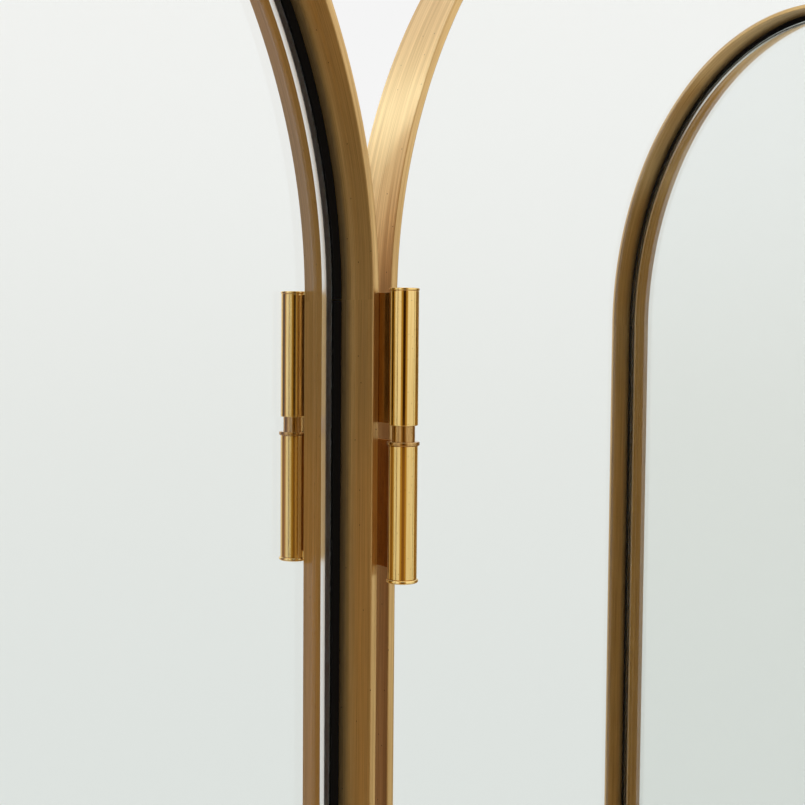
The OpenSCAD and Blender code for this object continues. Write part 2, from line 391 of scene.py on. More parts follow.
def bored(thing: Object, bores: Shape) -> None:
    """Cut closed shapes out of an object.

    Args:
        thing: The object.
        bores: The shapes, in the object's own frame.
    """
    name = thing.name + "_bores"
    cutter = stood(name, as_mesh(name, bores), thing.matrix_world)
    cut = thing.modifiers.new("bores", "BOOLEAN")
    cut.operation = "DIFFERENCE"
    cut.solver = "EXACT"
    cut.object = cutter
    settled(thing)
    bpy.data.meshes.remove(cutter.data)


def made(node: str, shape: Shape, place: Matrix, bores: Shape | None = None, brazed: Shape | None = None,
         crease: float = CREASE) -> Object:
    """Make the piece for a CAD node, smooth where it is round and flat where it is flat.

    Args:
        node: The CAD node.
        shape: The shape, in millimetres.
        place: Where the shape's own frame stands, in metres.
        bores: Closed shapes that are cut out of it.
        brazed: A closed shape that is joined to it after that, which takes the first material.
        crease: Angle in degrees from which an edge stays sharp.

    Returns:
        The piece.
    """
    name = node + "_piece"
    thing = stood(name, as_mesh(name, shape), place)
    if bores is not None:
        bored(thing, bores)
    if brazed is not None:
        other = as_mesh(name + "_brazed", brazed)
        for face in thing.data.polygons:
            face.material_index = 1
        work = bmesh.new()
        work.from_mesh(thing.data)
        work.from_mesh(other)
        work.to_mesh(thing.data)
        work.free()
        bpy.data.meshes.remove(other)
    thing.data.shade_smooth()
    thing.data.set_sharp_from_angle(angle=math.radians(crease))
    thing.modifiers.new("flats", "WEIGHTED_NORMAL").keep_sharp = True
    settled(thing)
    return thing


# Finishes


class Finish(ABC):
    """A surface: what it is made of and how it was worked."""

    @abstractmethod
    def material(self) -> Material:
        """Build this finish as a material."""


@dataclass(frozen=True)
class Brass(Finish):
    """Brass worked along its length: fine streaks in tone, gloss and height, and a few pits.

    Attributes:
        name: The material's name.
        light: Colour of the cleaner streaks.
        dark: Colour of the duller streaks.
        pit: Colour in the pits.
        gloss: Lowest and highest roughness.
        streak: Width and length of a fine streak, in millimetres.
        shade: Width and length of a broad cloud of tone, in millimetres.
        relief: Depth of the streaks, in millimetres.
        stretch: How much the streaks spread a reflection across the grain.
        pit_pitch: Usual distance between pits, in millimetres.
        pit_radius: Radius of a pit, in millimetres.
        clouds: Share of the clouds in the tone.
        span: Part of the noise over which the tone goes from dark to light.
    """

    name: str
    light: str
    dark: str
    pit: str
    gloss: tuple[float, float]
    streak: tuple[float, float]
    shade: tuple[float, float]
    relief: float
    stretch: float
    pit_pitch: float
    pit_radius: float
    clouds: float = 0.4
    span: tuple[float, float] = (0.36, 0.64)

    def material(self) -> Material:
        """Build the brass, with its grain laid along the piece."""
        material, tree = blank(self.name)
        lay = put(tree, "UVMap", {}, uv_map=LAY)
        noises = []
        for (width, length), detail in ((self.streak, 3.0), (self.shade, 1.0)):
            scaled = put(tree, "Mapping", {"Vector": lay, "Scale": (1 / width, 1 / length, 1.0)})
            noises.append(put(tree, "TexNoise", {"Vector": scaled, "Scale": 1.0, "Detail": detail,
                                                 "Roughness": NOISE_ROUGHNESS}, noise_dimensions="2D"))
        both = put(tree, "Mix", {"Factor": self.clouds, "A": noises[0], "B": noises[1]}, data_type="FLOAT")
        tone = put(tree, "MapRange", {"Value": both, "From Min": self.span[0], "From Max": self.span[1]})
        colour = put(tree, "Mix", {"Factor": tone, 6: linear(self.dark), 7: linear(self.light)},
                     data_type="RGBA")
        rough = put(tree, "MapRange", {"Value": tone, "To Min": self.gloss[1], "To Max": self.gloss[0]})
        spread = put(tree, "Mapping", {"Vector": lay, "Scale": (1 / self.pit_pitch, 1 / self.pit_pitch, 1.0)})
        cells = put(tree, "TexVoronoi", {"Vector": spread, "Scale": 1.0}, voronoi_dimensions="2D")
        edge = self.pit_radius / self.pit_pitch
        pits = put(tree, "MapRange", {"Value": cells, "From Min": edge / 2, "From Max": edge, "To Min": 1.0,
                                      "To Max": 0.0}, **SMOOTH)
        pitted = put(tree, "Mix", {"Factor": pits, 6: colour, 7: linear(self.pit)}, data_type="RGBA")
        bump = put(tree, "Bump", {"Height": noises[0], "Distance": self.relief * MM, "Strength": 1.0})
        tangent = put(tree, "Tangent", {}, direction_type="UV_MAP", uv_map=LAY)
        shader = put(tree, "BsdfPrincipled", {
            "Base Color": pitted, "Metallic": 1.0, "Roughness": rough, "Anisotropic": self.stretch,
            "Tangent": tangent, "Normal": bump})
        put(tree, "OutputMaterial", {"Surface": shader})
        return material


@dataclass(frozen=True)
class FloatGlass(Finish):
    """Clear float glass with ground and polished edges.

    Iron in the glass drinks a little red and blue, which leaves the mirror a faint green and its
    edges a darker one.

    Attributes:
        tint: Colour that passes the glass best.
        depth: Strength of the tint, per metre of glass.
        ground: Roughness of the ground edges, which blur what is behind them.
        ior: Index of refraction.
        flat: Y of the normal at which a ground edge starts and stops to turn into a clear face.
    """

    tint: str = "#CCE6D4"
    depth: float = 6.5
    ground: float = 0.3
    ior: float = 1.52
    flat: tuple[float, float] = (0.98, 0.99)

    def material(self) -> Material:
        """Build the glass as a clear solid."""
        material, tree = blank("float_glass_ground_edges")
        facing = put(tree, "SeparateXYZ", {"Vector": put(tree, "TexCoord", {}).outputs["Normal"]})
        flat = put(tree, "Math", {0: facing.outputs["Y"]}, operation="ABSOLUTE")
        rough = put(tree, "MapRange", {"Value": flat, "From Min": self.flat[0], "From Max": self.flat[1],
                                       "To Min": self.ground, "To Max": 0.0})
        shader = put(tree, "BsdfPrincipled", {"Base Color": linear("#FFFFFF"), "Roughness": rough,
                                              "IOR": self.ior, "Transmission Weight": 1.0})
        body = put(tree, "VolumeAbsorption", {"Color": linear(self.tint), "Density": self.depth})
        put(tree, "OutputMaterial", {"Surface": shader, "Volume": body})
        return material


@dataclass(frozen=True)
class SilverCoat(Finish):
    """Silver laid on the back of the glass by wet coating: an even, perfectly smooth mirror."""

    colour: str = "#F7F7F6"

    def material(self) -> Material:
        """Build the coat."""
        material, tree = blank("silver_wet_coated")
        shader = put(tree, "BsdfPrincipled", {"Base Color": linear(self.colour), "Metallic": 1.0,
                                              "Roughness": 0.0})
        put(tree, "OutputMaterial", {"Surface": shader})
        return material


@dataclass(frozen=True)
class MattBlack(Finish):
    """A dark non-metal with a fine, even texture.

    Attributes:
        name: The material's name.
        colour: Its colour.
        fleck: Colour of its lighter grains.
        roughness: Roughness of the surface.
        ior: Index of refraction.
        grain: Size of its texture, in millimetres.
        relief: Depth of its texture, in millimetres.
    """

    name: str
    colour: str
    fleck: str
    roughness: float
    ior: float
    grain: float
    relief: float

    def material(self) -> Material:
        """Build the surface."""
        material, tree = blank(self.name)
        place = put(tree, "TexCoord", {}).outputs["Object"]
        noise = put(tree, "TexNoise", {"Vector": place, "Scale": 1 / (self.grain * MM), "Detail": 2.0,
                                       "Roughness": NOISE_ROUGHNESS})
        colour = put(tree, "Mix", {"Factor": noise, 6: linear(self.colour), 7: linear(self.fleck)},
                     data_type="RGBA")
        bump = put(tree, "Bump", {"Height": noise, "Distance": self.relief * MM, "Strength": 1.0})
        shader = put(tree, "BsdfPrincipled", {"Base Color": colour, "Roughness": self.roughness,
                                              "IOR": self.ior, "Normal": bump})
        put(tree, "OutputMaterial", {"Surface": shader})
        return material


@dataclass(frozen=True)
class Palette:
    """The divider's finishes, each built once."""

    # Flat bar brushed along its length with a belt: satin, with reflections drawn out across the bar.
    # The real scratches are about 0.1 mm apart, drawn here 0.55 mm apart so that they show.
    brushed: Material
    # Hinge brass polished on a wheel: clear reflections, slightly wavy along the drawn tube.
    polished: Material
    # Brass left as it was drawn or turned: duller and browner.
    plain: Material
    glass: Material
    silver: Material
    strip: Material
    board: Material
    nylon: Material

    @classmethod
    def mixed(cls) -> "Palette":
        """Build every finish.

        Returns:
            The palette.
        """
        return cls(
            brushed=Brass("brass_brushed_lengthwise", "#E0BA7E", "#C29B63", "#5A3E1E", (0.30, 0.38),
                          (0.55, 60.0), (2.5, 160.0), 0.004, 0.8, 16.0, 0.3).material(),
            polished=Brass("brass_wheel_polished", "#F0CD88", "#E6C077", "#6B4A22", (0.07, 0.12),
                           (0.8, 20.0), (3.0, 40.0), 0.0012, 0.3, 4.0, 0.16).material(),
            plain=Brass("brass_as_drawn", "#C9A066", "#AD8450", "#4A3418", (0.14, 0.22),
                        (0.4, 6.0), (2.0, 12.0), 0.003, 0.3, 5.0, 0.2).material(),
            glass=FloatGlass().material(),
            silver=SilverCoat().material(),
            strip=MattBlack("foam_rubber_cut_black", "#040302", "#0A0807", 0.9, 1.25, 0.4, 0.02).material(),
            board=MattBlack("hardboard_painted_black", "#181816", "#22221F", 0.6, 1.5, 1.2, 0.02).material(),
            nylon=MattBlack("nylon_moulded_black", "#1A1A19", "#201F1E", 0.42, 1.53, 0.5, 0.006).material(),
        )


# The divider


@dataclass(frozen=True)
class HingeLine:
    """A hinge axis and the wing that turns on it.

    Attributes:
        wing: The wing.
        axis: A point of the axis at the floor, in metres.
        turn: Turn of the wing from the flat divider to where it rests, in radians about Z.
    """

    wing: Body
    axis: Vector
    turn: float

    @classmethod
    def of_wing(cls, wing: Body) -> "HingeLine":
        """Read a wing's axis and turn from its joint in the frame."""
        joint = next(j for j in frame["joints"] if j["child"] == wing.value)
        return cls(wing, Vector(joint["pos_m"]), -math.radians(joint["range_deg"][0]) * joint["axis"][2])

    def fixed(self) -> Matrix:
        """Frame of what stays with the centre panel."""
        return Matrix.Translation(self.axis)

    def swung(self) -> Matrix:
        """Frame of what turns with the wing."""
        return Matrix.Translation(self.axis) @ Matrix.Rotation(self.turn, 4, "Z")


def fitted(thing: Object, node: str, body: Body, slot: Slot, *materials: Material) -> None:
    """Dress a piece, let it ride on its body in place of its CAD node, and report it.

    Args:
        thing: The piece.
        node: The CAD node that it stands for.
        body: The body that carries it.
        slot: The record's slot of its finish; not used.
        materials: Its materials, the main one first.
    """
    for material in materials:
        thing.data.materials.append(material)
    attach(thing, body.value)
    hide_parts(node)
    corners = [thing.matrix_world @ vert.co for vert in thing.data.vertices]
    low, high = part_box(node)
    off = max(max(abs(min(c[i] for c in corners) - low[i]), abs(max(c[i] for c in corners) - high[i]))
              for i in range(3))
    log.info("%s for %s on %s, %d faces, box within %.2f mm", thing.name, node, body.value,
             len(thing.data.polygons), off / MM)


def carried_over(node: str, material: Material) -> None:
    """Give a CAD node that keeps its own shape a better material, and report it."""
    thing = frame["nodes"][node]
    thing.data.materials.clear()
    thing.data.materials.append(material)
    log.info("%s keeps its shape, in %s", node, material.name)


@dataclass
class ArchedPanel:
    """One panel: a brass band round a recessed mirror, with its board, lugs and glides.

    Attributes:
        body: The body that the panel is.
        place: The panel's frame, in metres.
        palette: The finishes.
    """

    body: Body
    place: Matrix
    palette: Palette
    width: float = 500.0
    height: float = 1800.0
    band_t: float = 3.0
    band_d: float = 30.5
    arris: float = 0.4
    arch_steps: int = 144
    glass_set: float = 17.8
    glass_t: float = 5.0
    glass_gap: float = 4.1
    glass_edge: float = 1.5
    glass_crease: float = 30.0
    board_t: float = 6.0
    board_play: float = 0.5
    board_edge: float = 0.5
    board_glue: float = 0.1
    strip_play: float = 0.1
    strip_set: float = 0.2
    strip_joint: float = 0.4
    strip_edge: float = 0.6
    lug: tuple[float, float, float] = (14.0, 1.5, 16.0)
    lug_edge: float = 0.2
    lugs_per_stile: int = 4
    lug_arch_angles: tuple[float, ...] = (45.0, 90.0, 135.0)
    screw_shank: float = 1.55
    screw_head: float = 2.85
    screw_head_h: float = 1.3
    screw_flats: int = 32
    glide_r: float = 10.0
    glide_h: float = 5.0
    glide_edge: float = 1.2
    glide_stem_r: float = 2.5
    glide_inset: float = 40.0
    glide_flats: int = 48
    silvered: float = 0.999

    def __post_init__(self) -> None:
        """Work out the sizes that follow from the others."""
        self.arch_r = self.width / 2
        self.inner_r = self.arch_r - self.band_t
        self.glass_r = self.inner_r - self.glass_gap
        self.spring = self.height - self.arch_r
        self.rail_top = self.glide_h + self.band_t
        self.glass_back = self.glass_set + self.glass_t
        self.board_back = self.glass_back + self.board_t

    def node(self, part: str) -> str:
        """Name of one of this panel's CAD nodes."""
        return f"{self.body.value}_{part}"

    def fit(self, part: str, slot: Slot, material: Material, shape: Shape,
            bores: Shape | None = None) -> None:
        """Make and fit the piece that stands for one of this panel's CAD nodes.

        Args:
            part: The part of the panel.
            slot: The record's slot of its finish.
            material: Its material.
            shape: Its shape.
            bores: Closed shapes that are cut out of it.
        """
        node = self.node(part)
        fitted(made(node, shape, self.place, bores), node, self.body, slot, material)

    def swept(self, stations: Sequence[tuple[Vector, Vector]], start: float) -> Shape:
        """Sweep the band's section along the front edge of its inner face.

        Args:
            stations: Points of that edge, each with the direction from the inner face to the outer one.
            start: Lay of the first point along the grain.

        Returns:
            The length of band.
        """
        section = softened(oblong(0, 0, self.band_t, self.band_d), self.arris)
        rings = [[inner + outward * out + Vector((0, back, 0)) for out, back in section]
                 for inner, outward in stations]
        along = [start + run for run in lengths([inner for inner, _ in stations], False)]
        return lofted(rings, lengths(rings[0], True), along)

    def build_band(self) -> None:
        """Make the arch, the uprights and the rail of the brass band."""
        upright = self.spring - self.glide_h
        arch = []
        for i in range(self.arch_steps + 1):
            angle = math.pi * (1 - i / self.arch_steps)
            outward = Vector((math.cos(angle), 0, math.sin(angle)))
            arch.append((Vector((0, 0, self.spring)) + outward * self.inner_r, outward))
        shapes = {"arch_band": self.swept(arch, upright)}
        far = -2 * upright - math.pi * self.inner_r
        for side, part, start in ((Side.LEFT, "left_stile", 0.0), (Side.RIGHT, "right_stile", far)):
            outward = Vector((side.value, 0, 0))
            ends = [(outward * self.inner_r + Vector((0, 0, z)), outward)
                    for z in (self.glide_h, self.spring)]
            shapes[part] = self.swept(ends, start)
        rail = bar((-self.inner_r, 0, self.glide_h), (self.inner_r, self.band_d, self.rail_top), self.arris)
        shapes["bottom_rail"] = rail.cross_laid()
        for part, shape in shapes.items():
            self.fit(part, Slot.BRUSHED_BRASS, self.palette.brushed, shape)

    def arched_plate(self, half_width: float, foot: float, front: float, back: float, edge: float) -> Shape:
        """Plate with straight sides, a semicircular top and broken edges.

        Args:
            half_width: Half of its width, which is also the radius of its top.
            foot: Height of its lower edge.
            front: Depth of its face.
            back: Depth of its back.
            edge: Width of its broken edges.

        Returns:
            The plate.
        """
        arch = [math.pi * (1 - i / self.arch_steps) for i in range(self.arch_steps + 1)]
        rings = []
        for y, inset in ((front, edge), (front + edge, 0), (back - edge, 0), (back, edge)):
            r = half_width - inset
            top = [Vector((r * math.cos(a), y, self.spring + r * math.sin(a))) for a in arch]
            rings.append([Vector((-r, y, foot + inset)), *top, Vector((r, y, foot + inset))])
        return lofted(rings, lengths(rings[0], True), [ring[0].y for ring in rings])

    def build_mirror(self) -> None:
        """Make the glass, with silver on its back face only."""
        node = self.node("mirror")
        shape = self.arched_plate(self.glass_r, self.rail_top + self.glass_gap, self.glass_set,
                                  self.glass_back, self.glass_edge)
        thing = made(node, shape, self.place, crease=self.glass_crease)
        for face in thing.data.polygons:
            face.material_index = int(face.normal.y > self.silvered)
        fitted(thing, node, self.body, Slot.MIRROR_GLASS, self.palette.glass, self.palette.silver)

    def build_strips(self) -> None:
        """Make the black strips in the gap round the glass, in four lengths."""
        inner = self.glass_r + self.strip_play
        outer = self.inner_r - self.strip_play
        front = self.glass_set + self.strip_set
        foot = self.rail_top + self.strip_play
        start = math.asin(self.strip_joint / 2 / self.glass_r)
        section = softened(oblong(inner, front, outer, self.glass_back), self.strip_edge)
        rings = []
        for i in range(self.arch_steps + 1):
            angle = start + (math.pi - 2 * start) * i / self.arch_steps
            rings.append([Vector((r * math.cos(angle), y, self.spring + r * math.sin(angle)))
                          for r, y in section])
        strips = lofted(rings, lengths(section, True), [r * math.pi for r in range(len(rings))])
        top = self.spring - self.strip_joint / 2
        for side in Side:
            low, high = sorted((side.value * inner, side.value * outer))
            strips.take_in(bar((low, front, foot), (high, self.glass_back, top), self.strip_edge))
        strips.take_in(bar((-self.glass_r, front, foot),
                           (self.glass_r, self.glass_back, foot + outer - inner), self.strip_edge))
        self.fit("edge_strips", Slot.BLACK_STRIP, self.palette.strip, strips)

    def lug_places(self) -> list[Matrix]:
        """Find the lugs' screws.

        Returns:
            Frames of the screws, with X outwards to the band and Y at the back of the board.
        """
        reach = self.inner_r - self.lug[0] / 2
        rise = (self.spring - self.rail_top) / self.lugs_per_stile
        spots = [(0, self.rail_top + rise * (i + 0.5), angle, reach)
                 for i in range(self.lugs_per_stile) for angle in (-180, 0)]
        spots += [(0, self.spring, angle, reach) for angle in self.lug_arch_angles]
        spots += [(side.value * self.width / 4, self.rail_top + self.lug[0] / 2, -90, 0) for side in Side]
        return [Matrix.Translation((x, self.board_back, z)) @ Matrix.Rotation(-math.radians(angle), 4, "Y")
                @ Matrix.Translation((out, 0, 0)) for x, z, angle, out in spots]

    def build_back(self) -> None:
        """Make the black board and the brass lugs that hold it."""
        board = self.arched_plate(self.inner_r - self.board_play, self.rail_top + self.board_play,
                                  self.glass_back + self.board_glue, self.board_back, self.board_edge)
        self.fit("back_board", Slot.BLACK_BOARD, self.palette.board, board)
        length, thick, wide = self.lug
        lug = bar((-length / 2, 0, -wide / 2), (length / 2, thick, wide / 2), self.lug_edge)
        hole = countersink(self.screw_shank, self.screw_head, self.screw_head_h, self.screw_flats)
        hole = hole.moved(Matrix.Translation((0, thick, 0)) @ Matrix.Rotation(math.pi / 2, 4, "X"))
        lugs = Shape()
        holes = Shape()
        for place in self.lug_places():
            lugs.take_in(lug.moved(place))
            holes.take_in(hole.moved(place))
        self.fit("board_lugs", Slot.PLAIN_BRASS, self.palette.plain, lugs, holes)

    def build_glides(self) -> None:
        """Make the two nylon glides with their stems."""
        foot = softened([(0, 0), (self.glide_r, 0), (self.glide_r, self.glide_h),
                         (self.glide_stem_r, self.glide_h), (self.glide_stem_r, self.rail_top),
                         (0, self.rail_top)], self.glide_edge, 4, sharp=(0, 3, 4, 5))
        glide = turned(foot, self.glide_flats)
        glides = Shape()
        for side in Side:
            x = side.value * (self.arch_r - self.glide_inset)
            glides.take_in(glide.moved(Matrix.Translation((x, self.band_d / 2, 0))))
        self.fit("glides", Slot.BLACK_NYLON, self.palette.nylon, glides)

    def build(self) -> None:
        """Make every piece of the panel."""
        self.build_band()
        self.build_mirror()
        self.build_strips()
        self.build_back()
        self.build_glides()
        carried_over(self.node("board_screws"), self.palette.plain)
        carried_over(self.node("flap_screws"), self.palette.polished)


@dataclass
class LiftOffHinge:
    """One lift-off hinge: two barrels with flaps, a collar between them and a cap on each end.

    Heights are measured down from the top of the hinge, about its own axis.

    Attributes:
        name: The hinge's name in the frame.
        line: The hinge line that it stands on.
        top: Height of its top above the floor.
        palette: The finishes.
    """

    name: str
    line: HingeLine
    top: float
    palette: Palette
    barrel_r: float = 5.5
    bore_r: float = 3.05
    barrel_l: float = 50.0
    barrel_edge: float = 0.3
    band_gap: float = 3.4
    flap_t: float = 2.0
    flap_h: float = 49.0
    flap_root: float = 4.25
    flap_back: float = 32.0
    flap_edge: float = 0.3
    screw_y: float = 22.0
    screw_pitch: float = 28.0
    screw_shank: float = 2.05
    screw_head: float = 3.75
    screw_flats: int = 48
    collar_r: float = 4.4
    collar_h: float = 6.0
    flange_r: float = 6.15
    flange_t: float = 1.5
    flange_play: float = 0.2
    top_cap_r: float = 5.7
    top_cap_t: float = 1.0
    spigot_r: float = 3.0
    spigot_l: float = 2.0
    cap_edge: float = 0.35
    bottom_cap_r: float = 6.05
    bottom_cap_t: float = 1.4
    bottom_cap_edge: float = 0.6
    flats: int = 96

    def __post_init__(self) -> None:
        """Work out the heights that follow from the sizes."""
        self.upper_foot = -self.top_cap_t - self.barrel_l
        self.flange_top = self.upper_foot - self.collar_h
        self.lower_top = self.flange_top - self.flange_t
        self.lower_foot = self.lower_top - self.barrel_l
        self.wing_side = Side.LEFT if self.line.wing is Body.LEFT_WING else Side.RIGHT
        lift = Matrix.Translation((0, 0, self.top * MM))
        self.places = {self.line.wing: self.line.swung() @ lift, Body.CENTRE: self.line.fixed() @ lift}

    def fit(self, part: str, body: Body, shape: Shape, bores: Shape | None = None,
            brazed: Shape | None = None) -> None:
        """Make and fit the piece that stands for one of this hinge's CAD nodes.

        Args:
            part: The part of the hinge.
            body: The body that carries it.
            shape: Its shape, or that of its flap.
            bores: Closed shapes that are cut out of it.
            brazed: Its barrel, where it has a flap.
        """
        node = f"{self.name}_{part}"
        slot = Slot.PLAIN_BRASS if part == "collar" else Slot.POLISHED_BRASS
        main = self.palette.plain if part == "collar" else self.palette.polished
        materials = [main] if brazed is None else [main, self.palette.plain]
        fitted(made(node, shape, self.places[body], bores, brazed), node, body, slot, *materials)

    def half(self, side: Side, foot: float, flap_foot: float) -> tuple[Shape, Shape, Shape]:
        """Shapes of one half of the hinge.

        Args:
            side: Side of the axis on which its band stands.
            foot: Height of the foot of its barrel.
            flap_foot: Height of the foot of its flap.

        Returns:
            The flap, the bores that are cut out of it, and the barrel.
        """
        tube = softened(oblong(self.bore_r, foot, self.barrel_r, foot + self.barrel_l), self.barrel_edge, 4,
                        sharp=(0, 3))
        outer = side.value * self.band_gap / 2
        inner = outer - side.value * self.flap_t
        low_x, high_x = sorted((outer, inner))
        flap = bar((low_x, self.flap_root, flap_foot), (high_x, self.flap_back, flap_foot + self.flap_h),
                   self.flap_edge)
        hole = countersink(self.screw_shank, self.screw_head, self.screw_head - self.screw_shank,
                           self.screw_flats)
        bores = Shape()
        for offset in (-self.screw_pitch / 2, self.screw_pitch / 2):
            place = Matrix.Translation((inner, self.screw_y, flap_foot + self.flap_h / 2 + offset))
            bores.take_in(hole.moved(place @ Matrix.Rotation(side.value * math.pi / 2, 4, "Y")))
        return flap, bores, turned(tube, self.flats)

    def build_halves(self) -> None:
        """Make the upper half with the wing and the lower half with the centre panel."""
        middle = (self.barrel_l - self.flap_h) / 2
        flap, bores, barrel = self.half(self.wing_side, self.upper_foot, self.upper_foot + middle)
        self.fit("wing_half", self.line.wing, flap, bores, barrel)
        other = Side(-self.wing_side.value)
        flap, bores, barrel = self.half(other, self.lower_foot, self.flange_top - self.flap_h)
        seat_r = self.flange_r + self.flange_play
        seat_top = self.flange_top + self.flange_play
        bores.take_in(turned(oblong(0, self.lower_top, seat_r, seat_top), self.flats))
        self.fit("centre_half", Body.CENTRE, flap, bores, barrel)

    def build_fittings(self) -> None:
        """Make the collar and the two caps."""
        collar = softened([(self.bore_r, self.lower_top), (self.flange_r, self.lower_top),
                           (self.flange_r, self.flange_top), (self.collar_r, self.flange_top),
                           (self.collar_r, self.upper_foot), (self.bore_r, self.upper_foot)],
                          self.cap_edge, 4, sharp=(0, 3, 4, 5))
        self.fit("collar", Body.CENTRE, turned(collar, self.flats))
        lip = -self.top_cap_t
        low = lip - self.spigot_l
        cap = softened([(0, low), (self.spigot_r, low), (self.spigot_r, lip), (self.top_cap_r, lip),
                        (self.top_cap_r, 0), (0, 0)], self.cap_edge, 4, sharp=(0, 1, 2, 5))
        self.fit("top_cap", self.line.wing, turned(cap, self.flats))
        foot = self.lower_foot - self.bottom_cap_t
        cap = softened(oblong(0, foot, self.bottom_cap_r, self.lower_foot), self.bottom_cap_edge, 6,
                       sharp=(0, 3))
        self.fit("bottom_cap", Body.CENTRE, turned(cap, self.flats))

    def build(self) -> None:
        """Make every piece of the hinge."""
        self.build_halves()
        self.build_fittings()
        carried_over(f"{self.name}_pin", self.palette.plain)


@dataclass
class Divider:
    """The whole divider: three panels and the four hinges that join them."""

    palette: Palette
    band_front: float = 12.0
    low_hinge_top: float = 358.0
    hinge_rise: float = 4.1

    def build(self) -> None:
        """Make the panels and the hinges in the places that the frame's joints give."""
        left = HingeLine.of_wing(Body.LEFT_WING)
        right = HingeLine.of_wing(Body.RIGHT_WING)
        half_pitch = (right.axis - left.axis).length / 2
        front = self.band_front * MM
        for body, stand, across in ((Body.LEFT_WING, left.swung(), -half_pitch),
                                    (Body.CENTRE, left.fixed(), half_pitch),
                                    (Body.RIGHT_WING, right.swung(), half_pitch)):
            panel = ArchedPanel(body, stand @ Matrix.Translation((across, front, 0)), self.palette)
            panel.build()
        for level, top in (("upper", panel.spring + self.hinge_rise), ("lower", self.low_hinge_top)):
            for name, line in (("left_hinge", left), ("right_hinge", right)):
                LiftOffHinge(f"{level}_{name}", line, top, self.palette).build()


# The studio


def via_brass(tree: NodeTree) -> Node:
    """Tell whether a brass face threw the ray back on its way.

    Each mirror on the way adds one glossy and two transmission bounces, so what is left over is brass.

    Args:
        tree: The tree that gets the nodes.

    Returns:
        A node that gives 1 for such a ray and 0 for any other.
    """
    rays = put(tree, "LightPath", {})
    in_mirrors = put(tree, "Math", {0: rays.outputs["Transmission Depth"], 1: 0.5}, operation="MULTIPLY")
    on_brass = put(tree, "Math", {0: rays.outputs["Glossy Depth"], 1: in_mirrors}, operation="SUBTRACT")
    return put(tree, "Math", {0: on_brass, 1: 0.5}, operation="GREATER_THAN")


@dataclass(frozen=True)
class Glow:
    """A soft-edged patch of the room that shiny surfaces see.

    Attributes:
        azimuth: Direction of its middle, in degrees from +X towards +Y.
        low: Elevation of its lower edge, in degrees.
        high: Elevation of its upper edge, in degrees.
        core: Half of the azimuth that it fills evenly, in degrees.
        reach: Half of the azimuth over which it fades out, in degrees.
        fade: Elevation over which its upper and lower edges fade, in degrees.
        colour: Its colour.
        strength: Its brightness.
    """

    azimuth: float
    low: float
    high: float
    core: float
    reach: float
    fade: float
    colour: str
    strength: float

    def mask(self, tree: NodeTree, level: Node, height: Node) -> Node:
        """Build the glow's mask.

        Args:
            tree: The world's node tree.
            level: The direction seen, turned level and of length 1.
            height: The direction's elevation, in degrees.

        Returns:
            A node that gives 1 inside the glow and 0 outside it.
        """
        angle = math.radians(self.azimuth)
        towards = put(tree, "VectorMath", {0: level, 1: (math.cos(angle), math.sin(angle), 0)},
                      operation="DOT_PRODUCT")
        away = put(tree, "Math", {0: towards}, operation="ARCCOSINE")
        across, foot, top = [
            put(tree, "MapRange", {"Value": value, "From Min": start, "From Max": stop, "To Min": low,
                                   "To Max": 1 - low}, **SMOOTH)
            for value, start, stop, low in (
                (away, math.radians(self.core), math.radians(self.reach), 1.0),
                (height, self.low - self.fade, self.low + self.fade, 0.0),
                (height, self.high - self.fade, self.high + self.fade, 1.0))]
        mask = put(tree, "Math", {0: across, 1: foot}, operation="MULTIPLY")
        return put(tree, "Math", {0: mask, 1: top}, operation="MULTIPLY")


